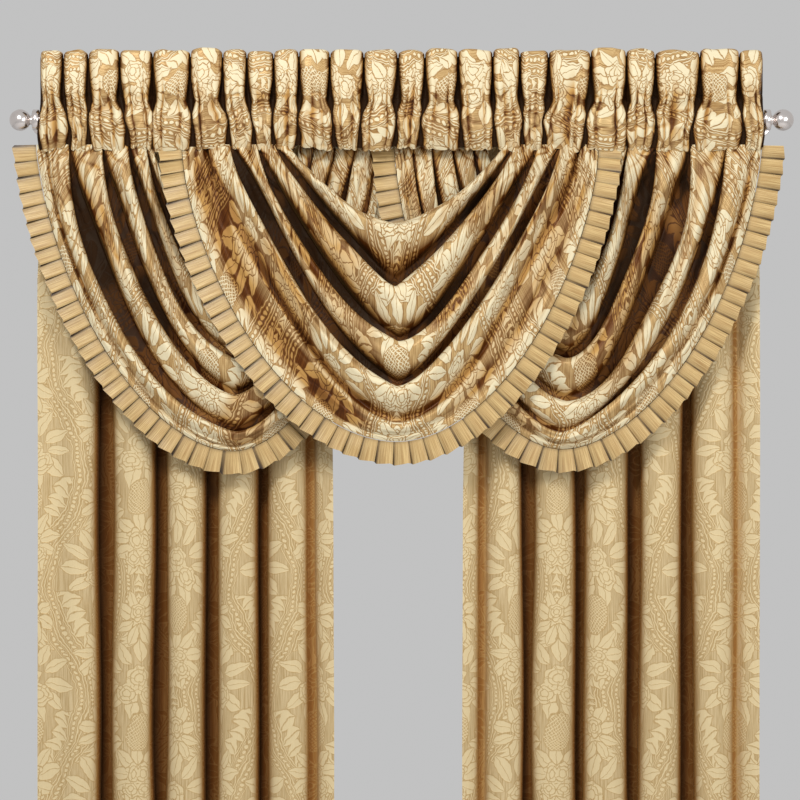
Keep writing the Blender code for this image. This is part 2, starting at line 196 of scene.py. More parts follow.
def ball_profile(side):
    """A ball finial: a short neck, a narrow groove, and the ball, from the rod outwards."""
    neck, ball = 0.0105, 0.0228
    start = math.asin(neck / ball)
    centre = 0.006 + ball * math.cos(start)
    arc = np.linspace(start, math.pi, 30)
    points = [(0.0, 0.0), (0.0, neck), (0.0025, neck), (0.0035, neck - 0.0015), (0.005, neck)]
    points += [(centre - ball * math.cos(a), ball * math.sin(a)) for a in arc]
    return [(side * x, r) for x, r in points]


for side, word in ((-1, "left"), (1, "right")):
    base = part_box(f"finial_{word}")[1 if side < 0 else 0][0]
    ball = turned(ball_profile(side), (base, -ROD_OUT, 0), "x")
    mesh = surface_mesh(f"ball_finial_{word}", [ball[::side]], (False, True))
    place_piece(mesh, nickel, "nickel", f"finial_{word}")


def arm_loft(x, low_y, high_y, wide, tall):
    """A bracket arm: a rounded rectangle, which is a superellipse, carried from the wall plate to
    the ring and drawn in at its middle by half a sine wave."""
    round_steps, flat, drawn_in = 40, 0.35, 0.12
    angle = np.linspace(0.0, 2.0 * np.pi, round_steps, endpoint=False)
    across = wide / 2.0 * np.sign(np.cos(angle)) * np.abs(np.cos(angle)) ** flat
    up = tall / 2.0 * np.sign(np.sin(angle)) * np.abs(np.sin(angle)) ** flat
    y = np.linspace(low_y, high_y, 12)
    waist = 1.0 - drawn_in * np.sin(np.linspace(0.0, np.pi, len(y)))
    rows = [
        np.stack([x + across * w, np.full(round_steps, t), up * w], axis=-1)
        for t, w in zip(y, waist)
    ]
    caps = [np.broadcast_to([x, t, 0.0], (round_steps, 3)) for t in (low_y, high_y)]
    return np.stack([caps[0], *rows, caps[1]])


def bracket_grids(side):
    """One cast bracket: the wall plate, the arm, the ring round the front rod and the socket."""
    x = side * BRACKET_X
    plate_profile = rounded_end(-0.006, 0.024, 0.002, 1.0) + [(0.0, 0.024), (0.0, 0.0)]
    plate = turned(plate_profile, (x, 0, 0), "y")
    ring = [(-0.007, 0.0164), (-0.007, 0.0210), (-0.0055, 0.0225), (0.0055, 0.0225)]
    ring += [(0.007, 0.0210), (0.007, 0.0164), (-0.007, 0.0164)]
    collar = turned(ring, (x, -ROD_OUT, 0), "x")
    inner = x - side * 0.006
    cup = [(0.001, 0.0), (0.001, 0.0125), (-0.0125, 0.0125), (-0.014, 0.0115), (-0.014, 0.0084)]
    cup += [(0.0, 0.0084), (0.0, 0.0)]
    socket = turned([(side * a, r) for a, r in cup], (inner, -REAR_OUT, 0), "x")
    arm = arm_loft(x, -(ROD_OUT - 0.0195), -0.004, 0.012, 0.018)
    return [arm, plate, collar, socket]


for side, word in ((-1, "left"), (1, "right")):
    grids = bracket_grids(side)
    mesh = surface_mesh(f"cast_bracket_{word}", grids, (False, True))
    place_piece(mesh, nickel, "nickel", f"bracket_{word}")


# The tail panels.
# Each is a cut of gold damask gathered on the rear rod to about half its width: the top is turned
# over the rod and stitched as a pocket, and below it the cloth hangs in broad folds with deep
# narrow valleys between them.

# The cloth hangs this far to the left of the brackets' middle.
HANG_X = -0.0066
PANEL_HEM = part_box("panel_left")[0][2]

# Where the crests of a panel's folds stand, and how deep the cloth falls after each.
PANEL_FOLDS = {
    "left": (
        (-0.767, -0.685, -0.566, -0.454, -0.344, -0.231, -0.139),
        (0.10, 1.00, 1.00, 1.00, 0.95, 0.50, 0.00),
    ),
    "right": (
        (0.138, 0.222, 0.331, 0.446, 0.560, 0.676, 0.770),
        (0.48, 0.90, 1.00, 1.00, 1.00, 0.42, 0.00),
    ),
}
# The section of a panel from its hem up and over the rod: out and up from the rod's axis, how
# deep the folds are there, and how far the pocket swells between its gathers.
PanelRow = namedtuple("PanelRow", "up out depth swell")
PANEL_ROWS = [PanelRow(*row) for row in (
    (PANEL_HEM, 0.034, 0.064, 0.0),
    (-0.550, 0.033, 0.062, 0.0),
    (-0.250, 0.029, 0.050, 0.0),
    (-0.110, 0.021, 0.024, 0.0),
    (-0.0380, 0.0115, 0.0055, 0.0),
    (-0.0100, 0.0130, 0.0, 0.003),
    (0.0060, 0.0105, 0.0, 0.003),
    (0.0098, 0.0000, 0.0, 0.0),
    (0.0060, -0.0105, 0.0, -0.003),
    (-0.0100, -0.0130, 0.0, -0.003),
    (-0.0385, 0.0020, 0.0, 0.0),
)]


def ease(x):
    """0 below 0, 1 above 1, and a smooth step between."""
    x = np.clip(x, 0.0, 1.0)
    return x * x * (3.0 - 2.0 * x)


def uneven(u, v, seed):
    """Smooth noise between -1 and 1: a lattice of seeded random values, one for each whole u and
    v, with an eased blend between them."""
    size = 61
    values = np.random.default_rng(seed).uniform(-1.0, 1.0, (size, size))
    u, v = np.broadcast_arrays(np.asarray(u, float), np.asarray(v, float))
    i, j = np.floor(u).astype(int), np.floor(v).astype(int)
    a, b = ease(u - i), ease(v - j)
    here, beyond = i % size, (i + 1) % size
    low, high = (
        values[here, row % size] * (1.0 - a) + values[beyond, row % size] * a for row in (j, j + 1)
    )
    return low * (1.0 - b) + high * b


def fold_profile(phase, gape, dip):
    """Across one fold, from the top of a roll at phase 0 to the next at 1: the place, as a share
    of the way, and how far the cloth has fallen. A deep fold is a round roll that tucks a little
    under itself, a flat floor as wide as gape, and the next roll; a shallow one is a wave."""
    turn_share, tuck = 0.40, 1.9
    into = tuck * np.clip(phase / turn_share, 0.0, 1.0)
    back = tuck * np.clip((1.0 - phase) / turn_share, 0.0, 1.0)
    reach = (1.0 - gape) / 2.0
    floor = reach * math.sin(tuck)
    across_floor = floor + (1.0 - 2.0 * floor) * (phase - turn_share) / (1.0 - 2.0 * turn_share)
    roll = np.where(phase < 0.5, reach * np.sin(into), 1.0 - reach * np.sin(back))
    flat = (phase > turn_share) & (phase < 1.0 - turn_share)
    roll = np.where(flat, across_floor, roll)
    sunk = (1.0 - np.cos(np.where(phase < 0.5, into, back))) / (1.0 - math.cos(tuck))
    sharp = ease((dip - 0.35) / 0.40)
    wave = phase + 0.7 * dip * np.sin(2.0 * np.pi * phase) / (2.0 * np.pi)
    wave_sunk = (1.0 - np.cos(2.0 * np.pi * phase)) / 2.0
    return wave + (roll - wave) * sharp, wave_sunk + (sunk - wave_sunk) * sharp


def walked(points, axis):
    """The distance walked along one axis of a grid of points."""
    steps = np.linalg.norm(np.diff(points, axis=axis), axis=-1)
    first = np.zeros_like(np.take(steps, [0], axis=axis))
    return np.concatenate([first, np.cumsum(steps, axis=axis)], axis=axis)


def cloth_mesh(name, grid, across, along, painted_shade):
    """A sheet of cloth with its flat coordinates in metres, for the weave, and an attribute from 0
    on a crest to 1 deep in a fold, which says how far painted shade darkens its colour there."""
    mesh = surface_mesh(name, [grid])
    flat = np.stack([across, along], axis=-1).reshape(-1, 2)
    corner = np.empty(len(mesh.loops), dtype=np.int32)
    mesh.loops.foreach_get("vertex_index", corner)
    layer = mesh.uv_layers.new(name="flat")
    layer.uv.foreach_set("vector", flat[corner].ravel().astype(np.float32))
    mark = mesh.attributes.new("painted_shade", "FLOAT", "POINT")
    marks = np.broadcast_to(painted_shade, grid.shape[:2])
    mark.data.foreach_set("value", marks.ravel().astype(np.float32))
    return mesh


FOLD_COLUMNS = 60


def panel_surface(crests, dips, edge_x, seed):
    """A panel: v crosses the folds, one for each crest, and w climbs the rows from the hem up
    and over the rod. Across, the cloth follows fold_profile, in broad rolls with narrow valleys."""
    last, last_row = len(crests) - 1, len(PANEL_ROWS) - 1
    v = np.linspace(0.0, last, FOLD_COLUMNS * last + 1)
    w = np.concatenate([np.linspace(0, 1, 46)[:-1], np.linspace(1, last_row, 64)])[:, None]
    row = {
        name: np.interp(w, np.arange(last_row + 1), [getattr(r, name) for r in PANEL_ROWS])
        for name in PanelRow._fields
    }
    k = np.clip(np.floor(v), 0, last - 1).astype(int)
    phase = v - k
    dip = np.array(dips)[k]
    gape = 0.20 + 0.09 * uneven(k * 7.3 + 0.5, row["up"] * 2.4, seed + 3)
    place, fall = fold_profile(phase, gape, dip)
    x = HANG_X + np.interp(k + place, np.arange(last + 1), crests)
    inner, outer = sorted((HANG_X + crests[0], HANG_X + crests[-1]), key=abs)
    drawn = inner + (x - inner) * (edge_x - inner) / (outer - inner)
    hung = ease((-row["up"] - 0.04) / 0.30)
    sway = 0.004 * uneven(v * 0.9, row["up"] * 2.2, seed) * hung
    out = REAR_OUT + row["out"] - row["depth"] * dip * fall + row["swell"] * (1.0 - dip * fall)
    out = out + 0.0035 * uneven(v * 2.2, row["up"] * 3.0, seed + 1) * hung
    gathers = np.sin(2.0 * np.pi * x / 0.021 + 2.0 * uneven(v * 3.0, row["up"] * 9.0, seed + 2))
    close = ease(1.0 - np.abs(row["up"] + 0.05) / 0.12)
    out = out + 0.0016 * gathers * close
    grid = np.stack([drawn + (x - drawn) * hung + sway, -out, row["up"] + 0.0 * x], axis=-1)
    across = np.broadcast_to(walked(grid[8], 0), grid.shape[:2])
    # Painted shade in the valleys where the cloth hangs free, and painted light: less of it on the
    # right side of each valley, which the key light from the left reaches.
    lit_side = 0.42 * ease((phase - 0.42) / 0.14)
    painted_shade = ease((dip * fall - 0.12) / 0.65) * hung * (1.0 - lit_side)
    return grid, across, painted_shade


# The damask itself is woven of two shades of gold: satin ground with fine slubs, and motifs in
# a paler, duller float with brown outlines. The layout, in millimetres, is a traditional one:
# pointed ovals in a half drop, with beds of roses in rings of leaves, a lattice, sprays and beads.

REPEAT_WIDE = 330.0
REPEAT_TALL = 500.0
OVAL_SWING = 44.0
MOAT = 1.8
INNER_LINE = -0.3
LATTICE_MM = 3.9
BEAD_PITCH = 4.8
SLUB_MM = 1.5
SLUB_LONG = 90.0
HAIR_MM = 0.8
HAIR_LONG = 30.0


def over(add, top, below):
    """Lays one motif over another, with a moat of ground between: the greater of the top's depth
    and of the lower one's, the latter cut back from the top's edge."""
    far = add("Math SUBTRACT", -MOAT, top)
    return add("Math MAXIMUM", top, add("Math MINIMUM", below, far))


def polar(add, x, y, centre_x, centre_y):
    """Distance from a centre and angle round it, 0 straight up and a half turn straight down."""
    a = add("Math SUBTRACT", x, centre_x)
    b = add("Math SUBTRACT", y, centre_y)
    square = add("Math MULTIPLY_ADD", b, b, add("Math MULTIPLY", a, a))
    return add("Math SQRT", square), add("Math ARCTAN2", a, b)


def leaf(add, b, aside, width, midrib):
    """A pointed leaf: a parabola in b, its way from stalk to tip, as wide as its middle, with a
    midrib cut out of it. aside is the distance from the midrib."""
    hill = add("Math MULTIPLY", b, add("Math SUBTRACT", 1.0, b))
    body = add("Math MULTIPLY_ADD", hill, 4.0 * width, add("Math MULTIPLY", aside, -1.0))
    rib = add("Math MAXIMUM", add("Math SUBTRACT", aside, midrib), INNER_LINE)
    return add("Math MINIMUM", body, rib)


def leaf_ring(add, x, y, centre, reach, count, width, offset):
    """Pointed leaves that stand round a centre."""
    r, angle = polar(add, x, y, 0.0, centre)
    step = math.pi / count
    turn = add("Math WRAP", add("Math ADD", angle, offset * step), step / 2.0, -step / 2.0)
    aside = add("Math ABSOLUTE", add("Math MULTIPLY", turn, r))
    b = add("MapRange", r, *reach, clamp=False)
    return leaf(add, b, aside, width, 0.5)


def rose_bed(add, x, y, centre, reach, size):
    """Cabbage roses scattered in a bed: each cell of a Voronoi pattern whose own point lies in
    the bed holds one, with a lobed rim, two rings of petals and a round heart."""
    where = add("CombineXYZ", x, y)
    cell = add("TexVoronoi", where, None, 1.0 / size, out=2, voronoi_dimensions="2D")
    cell.node.inputs["Randomness"].default_value = 0.55
    tint = add("SeparateXYZ", cell.node.outputs["Color"])
    spot = add("SeparateXYZ", cell)
    far_x, far_y = spot, spot.node.outputs[1]
    bed, _ = polar(add, far_x, far_y, 0.0, centre)
    inside = add("Math LESS_THAN", bed, reach)
    a = add("Math SUBTRACT", x, far_x)
    b = add("Math SUBTRACT", y, far_y)
    r = add("Math SQRT", add("Math MULTIPLY_ADD", b, b, add("Math MULTIPLY", a, a)))
    angle = add("Math MULTIPLY_ADD", tint, 6.3, add("Math ARCTAN2", a, b))
    lobes = add("Math COSINE", add("Math MULTIPLY", angle, 6.0))
    rim = add("Math MULTIPLY_ADD", lobes, 0.035 * size, 0.47 * size)
    head = add("Math SUBTRACT", rim, r)
    for share, petals, turn in ((0.33, 5.0, 0.0), (0.17, 4.0, 0.9)):
        ring = add("Math ABSOLUTE", add("Math SUBTRACT", r, share * size))
        line = add("Math MAXIMUM", add("Math SUBTRACT", ring, 0.75), INNER_LINE)
        head = add("Math MINIMUM", head, line)
        spoke = add("Math SINE", add("Math MULTIPLY_ADD", angle, petals / 2.0, turn))
        arm = add("Math MULTIPLY", r, 2.0 / petals)
        edge = add("Math MULTIPLY", add("Math ABSOLUTE", spoke), arm)
        beyond = add("Math SUBTRACT", share * size, r)
        cut = add("Math MAXIMUM", add("Math SUBTRACT", edge, 0.6), beyond)
        head = add("Math MINIMUM", head, add("Math MAXIMUM", cut, INNER_LINE))
    return add("Math MULTIPLY_ADD", add("Math SUBTRACT", inside, 1.0), 99.0, head)


def leaf_row(add, inset, y, start, long, pitch, width, slant, bend):
    """Pointed leaves that grow at a slant from a line along the oval's border, one for each pitch,
    and bend back as they grow. inset is the distance from the border."""
    out = add("Math SUBTRACT", inset, start)
    b = add("Math MULTIPLY", out, 1.0 / long)
    leaning = add("Math MULTIPLY_ADD", out, bend, -slant)
    along = add("Math MULTIPLY_ADD", out, leaning, y)
    aside = add("Math ABSOLUTE", add("Math WRAP", along, pitch / 2.0, -pitch / 2.0))
    aside = add("Math MULTIPLY", aside, 1.0 / math.hypot(1.0, slant))
    return leaf(add, b, aside, width, 0.6)


def line_beside(add, inset, place, half):
    """A thin line that follows the oval's border."""
    return add("Math SUBTRACT", half, add("Math ABSOLUTE", add("Math SUBTRACT", inset, place)))


def oval_border(add, y):
    """How far the border of the pointed ovals stands from their middle at a height: a cosine."""
    swing = add("Math COSINE", add("Math MULTIPLY", y, 2.0 * math.pi / REPEAT_TALL))
    return add("Math MULTIPLY_ADD", swing, OVAL_SWING, REPEAT_WIDE / 4.0)


# Each ring of leaves: its centre's height, the radii where the leaves start and end, how many
# stand in a half turn, how wide they are, and by how much of a step they are turned.
LEAF_RINGS = (
    (48.0, (38.0, 96.0), 5.5, 14.0, 0.0),
    (-156.0, (18.0, 72.0), 4.5, 13.0, 0.0),
    (184.0, (14.0, 62.0), 4.0, 12.0, 0.5),
)
# Each bed of roses: its centre's height, its radius, and the size of a rose.
ROSE_BEDS = ((48.0, 56.0, 50.0), (-190.0, 46.0, 41.0), (190.0, 38.0, 38.0))


def damask_depth(add, x, y):
    """How deep a place is in a motif, in millimetres: below 0 it is ground."""
    half_wide, half_tall = REPEAT_WIDE / 2.0, REPEAT_TALL / 2.0
    folded = add("Math PINGPONG", x, half_wide)
    level = add("Math WRAP", y, half_tall, -half_tall)
    other = add("Math GREATER_THAN", folded, oval_border(add, level))
    flip = add("Math MULTIPLY_ADD", folded, -2.0, half_wide)
    x = add("Math MULTIPLY_ADD", other, flip, folded)
    y = add("Math WRAP", add("Math MULTIPLY_ADD", other, half_tall, level), half_tall, -half_tall)
    inset = add("Math SUBTRACT", oval_border(add, y), x)

    outer_line = line_beside(add, inset, 3.0, 1.3)
    depth = add("Math MAXIMUM", outer_line, line_beside(add, inset, 22.0, 1.0))
    bead_x = add("Math SUBTRACT", inset, 12.5)
    bead_y = add("Math SUBTRACT", add("Math PINGPONG", y, BEAD_PITCH), BEAD_PITCH)
    square = add("Math MULTIPLY_ADD", bead_y, bead_y, add("Math MULTIPLY", bead_x, bead_x))
    depth = add("Math MAXIMUM", depth, add("Math SUBTRACT", 3.6, add("Math SQRT", square)))

    spray = leaf_row(add, inset, y, 26.0, 44.0, 27.0, 9.0, 1.25, 0.016)
    spray = add("Math MAXIMUM", line_beside(add, inset, 27.0, 1.2), spray)
    beside = add("Math SUBTRACT", add("Math ABSOLUTE", add("Math SUBTRACT", y, 48.0)), 66.0)
    depth = over(add, add("Math MINIMUM", spray, beside), depth)

    for leaves in LEAF_RINGS:
        depth = over(add, leaf_ring(add, x, y, *leaves), depth)

    oval, _ = polar(add, x, add("Math MULTIPLY", y, 0.75), 0.0, -48.0)
    one = add("Math PINGPONG", add("Math ADD", x, y), LATTICE_MM)
    two = add("Math PINGPONG", add("Math SUBTRACT", x, y), LATTICE_MM)
    mesh_line = add("Math SUBTRACT", 1.3, add("Math MINIMUM", one, two))
    lattice = add("Math MINIMUM", mesh_line, add("Math SUBTRACT", 30.0, oval))
    around = add("Math MINIMUM", depth, add("Math SUBTRACT", oval, 31.5))
    depth = add("Math MAXIMUM", lattice, around)

    for bed in ROSE_BEDS:
        depth = over(add, rose_bed(add, x, y, *bed), depth)
    return depth


SHEEN_GOLD = "#D9A860"
THREAD_GLINT = "#FAE6C6"
# The pull of the weave: the scale and detail of each noise, and how far it bends the motifs.
PULLS = ((14.0, 0.0, 30.0), (70.0, 1.0, 8.0))
# Over which ranges of the shade mask the colour is painted darker where the cloth turns from the
# light, painted a warm brown shade further in, and painted near black deep in the folds.
TURNED_SHADE_RANGE = (0.03, 0.36)
WARM_SHADE_RANGE = (0.34, 0.70)
DEEP_SHADE_RANGE = (0.52, 1.0)


def thread_places(add, across, along, wide, long):
    """Where a place lies among threads that are so wide and long: noise read there streaks."""
    return add("CombineXYZ", add("Math DIVIDE", across, wide), add("Math DIVIDE", along, long))


def woven_damask(name, shades, motif_shift):
    """Satin damask. The ground reflects along its threads, the motif is paler and duller, and its
    outline is a brown thread. Painted shade browns ground and motif where the cloth turns from the
    light, warms the colour further into the folds and turns it near black deep in them. Slubs run
    the whole length of the cloth; at 1.5 mm they are drawn about twice as coarse as they are. The
    motifs are drawn a few millimetres out of true by noise, as the pull of the weave leaves them."""
    made, tree, shader = new_material(
        name, Metallic=shades["gloss"], Sheen_Weight=0.10, Sheen_Roughness=0.4,
        Sheen_Tint=linear(SHEEN_GOLD), Anisotropic=0.7, Specular_IOR_Level=0.25,
        Specular_Tint=linear(THREAD_GLINT),
    )
    add = partial(add_node, tree)
    flat = add("UVMap", uv_map="flat")
    mm = add("VectorMath SCALE", flat)
    mm.node.inputs["Scale"].default_value = 1000.0
    split = add("SeparateXYZ", mm)
    across, along = split, split.node.outputs[1]
    for scale, detail, far in PULLS:
        pull = add("TexNoise", flat, None, scale, detail, out=1)
        mm = add("VectorMath MULTIPLY_ADD", pull, (far, far, 0.0), mm)
    drawn = add("SeparateXYZ", mm)
    x = add("Math ADD", drawn, motif_shift[0])
    y = add("Math ADD", drawn.node.outputs[1], motif_shift[1])
    depth = damask_depth(add, x, y)

    motif = add("MapRange", depth, -0.2, 0.5)
    rim = add("MapRange", add("Math ABSOLUTE", add("Math ADD", depth, 0.8)), 1.3, 0.3)

    slub, hair = (
        add("TexNoise", thread_places(add, across, along, wide, long), None, 1.0, detail)
        for wide, long, detail in ((SLUB_MM, SLUB_LONG, 3.0), (HAIR_MM, HAIR_LONG, 2.0))
    )
    streak = add("Math ADD", add("Math MULTIPLY", slub, 0.65), add("Math MULTIPLY", hair, 0.35))
    streak = add("MapRange", streak, 0.40, 0.58)

    # The painted shade mask, from 0 on a crest to 1 deep in a fold.
    painted_shade = add("Attribute", out=2, attribute_name="painted_shade")
    tone = {part: linear(code) for part, code in shades.items() if isinstance(code, str)}
    # Painted shade: ground and motif are multiplied towards brown where the cloth turns from the
    # light.
    away = add("MapRange", painted_shade, *TURNED_SHADE_RANGE)
    ground = add("MixRGB", streak, tone["slub"], tone["ground"])
    ground = add("MixRGB", away, ground, tone["turned_shade_ground"], blend_type="MULTIPLY")
    paler = add("MixRGB", hair, tone["motif_low"], tone["motif"])
    paler = add("MixRGB", away, paler, tone["turned_shade_motif"], blend_type="MULTIPLY")
    colour = add("MixRGB", motif, ground, paler)
    colour = add("MixRGB", add("Math MULTIPLY", rim, 0.52), colour, tone["outline"])
    # Painted shade: a warm brown further into the folds.
    warm_shade = add("MapRange", painted_shade, *WARM_SHADE_RANGE, 0.0, 0.85)
    colour = add("MixRGB", warm_shade, colour, tone["shade"], blend_type="MULTIPLY")
    # Painted shade: near black deep in the folds.
    deep = add("MapRange", painted_shade, *DEEP_SHADE_RANGE, 0.0, shades["painted_shade_share"])
    colour = add("MixRGB", deep, colour, tone["painted_shade"])
    tree.links.new(colour, shader.inputs["Base Color"])

    rough = add("Math MULTIPLY_ADD", motif, 0.26, 0.34)
    rough = add("Math MULTIPLY_ADD", deep, 0.3, rough)
    tree.links.new(rough, shader.inputs["Roughness"])
    tangent = add("Tangent", direction_type="UV_MAP", uv_map="flat")
    tree.links.new(tangent, shader.inputs["Tangent"])
    raised = add("MapRange", depth, -1.0, 1.5)
    height = add("Math MULTIPLY_ADD", streak, 0.25, raised)
    relief = add("Bump", 0.6, 0.0006, None, height)
    tree.links.new(relief, shader.inputs["Normal"])
    return made


# The turned colours, the shade and the near-black colour with its share are painted shade, laid on
# by the shade mask in the folds.
PANEL_SHADES = {
    "ground": "#D0BA90", "slub": "#B09567", "motif": "#DCCAA2", "motif_low": "#D0BA8D",
    "outline": "#AC8A54", "shade": "#BC9264", "painted_shade": "#321B09", "gloss": 0.15,
    "turned_shade_ground": "#D0B088", "turned_shade_motif": "#B28B5E", "painted_shade_share": 0.88,
}
panel_damask = woven_damask("panel_satin_damask", PANEL_SHADES, (0.0, 120.0))
socket_reach = 0.022
for number, word, side in ((11, "left", -1), (23, "right", 1)):
    edge = side * (BRACKET_X - socket_reach)
    grid, across, painted_shade = panel_surface(*PANEL_FOLDS[word], edge, number)
    mesh = cloth_mesh(f"tail_panel_{word}", grid, across, walked(grid, 0), painted_shade)
    panel = place_piece(mesh, panel_damask, "panel_damask", f"panel_{word}")


# The headings.
# Each swag hangs from a strip of the same damask that is cut sideways, doubled and stitched twice
# to make a rod pocket with a ruffle standing above it. Slid together on the rod, the ruffle
# stands in flattened puffs, and the pocket below it gathers into small crushed folds.

PUFFS = {
    "left": (0.049, 0.053, 0.066, 0.070),
    "centre": (
        0.080, 0.068, 0.051, 0.057, 0.053, 0.066, 0.072, 0.072,
        0.057, 0.070, 0.074, 0.057, 0.061, 0.089, 0.075,
    ),
    "right": (0.061, 0.095, 0.083, 0.050),
}

# The section of a heading round the rod: out and up from the rod's axis, how far a puff swells
# it outwards and lifts it, and how deep the small gathers are there.
Station = namedtuple("Station", "out up swell rise gather")
HEADING_SECTION = [Station(*row) for row in (
    (0.0100, -0.0560, 0.000, 0.000, 0.0045),
    (0.0225, -0.0300, 0.003, 0.000, 0.0085),
    (0.0265, -0.0020, 0.003, 0.000, 0.0090),
    (0.0170, 0.0220, 0.001, 0.000, 0.0100),
    (0.0080, 0.0480, 0.018, 0.000, 0.0090),
    (0.0050, 0.0800, 0.024, 0.000, 0.0030),
    (0.0050, 0.1180, 0.023, 0.000, 0.0000),
    (0.0040, 0.1400, 0.020, 0.005, 0.0000),
    (0.0000, 0.1440, 0.009, 0.005, 0.0000),
    (-0.0040, 0.1360, -0.010, 0.004, 0.0000),
    (-0.0050, 0.0600, -0.012, 0.000, 0.0010),
    (-0.0060, 0.0215, 0.000, 0.000, 0.0020),
    (-0.0225, 0.0050, 0.000, 0.000, 0.0030),
    (-0.0210, -0.0260, 0.000, 0.000, 0.0030),
    (-0.0020, -0.0530, 0.000, 0.000, 0.0000),
)]


def through_rows(rows, s):
    """Values at the fractional row numbers s: a Catmull-Rom curve through the rows, and straight
    on past them."""
    rows = np.asarray(rows, float)
    slope = np.gradient(rows)
    k = np.clip(np.floor(s).astype(int), 0, len(rows) - 2)
    t = s - k
    inside = np.clip(t, 0.0, 1.0)
    h = inside * inside * (3.0 - 2.0 * inside)
    bend = slope[k] * inside * (1.0 - inside) ** 2 - slope[k + 1] * (1.0 - inside) * inside**2
    value = rows[k] * (1.0 - h) + rows[k + 1] * h + bend
    return value + (t - inside) * np.where(t > inside, rows[k + 1] - rows[k], slope[k])


def arcs(phase, cuts):
    """Rounded rolls with sharp valleys between them: half ellipses from each cut to the next."""
    k = np.clip(np.searchsorted(cuts, phase, side="right") - 1, 0, len(cuts) - 2)
    cuts = np.asarray(cuts)
    t = (phase - cuts[k]) / (cuts[k + 1] - cuts[k])
    return np.sqrt(np.clip(1.0 - (2.0 * t - 1.0) ** 2, 0.0, 1.0))


# Where the valleys between the folds of the swags start below the headings, and how near a
# slit is to be for its valley to draw it there.
VALLEY_STARTS = (
    -0.702, -0.637, -0.581, -0.544, -0.420, -0.366, -0.311, -0.272,
    0.258, 0.298, 0.342, 0.385, 0.480, 0.535, 0.614, 0.690,
)
VALLEY_NEAR = 0.022
# The cloth of the pocket keeps this far from the rod's axis.
ROD_CLEAR = 0.0173
# The gathers part this much at its lower edge, and stand about this far apart.
PARTING = 0.0085
GATHER_PITCH = 0.019
PUFF_COLUMNS = 40
# The superellipse's power: 1 is round, less is squarer.
SQUARISH = 0.50
# The station at the top, where the front of the section turns over to the back.
TOP_STATION = 8.0


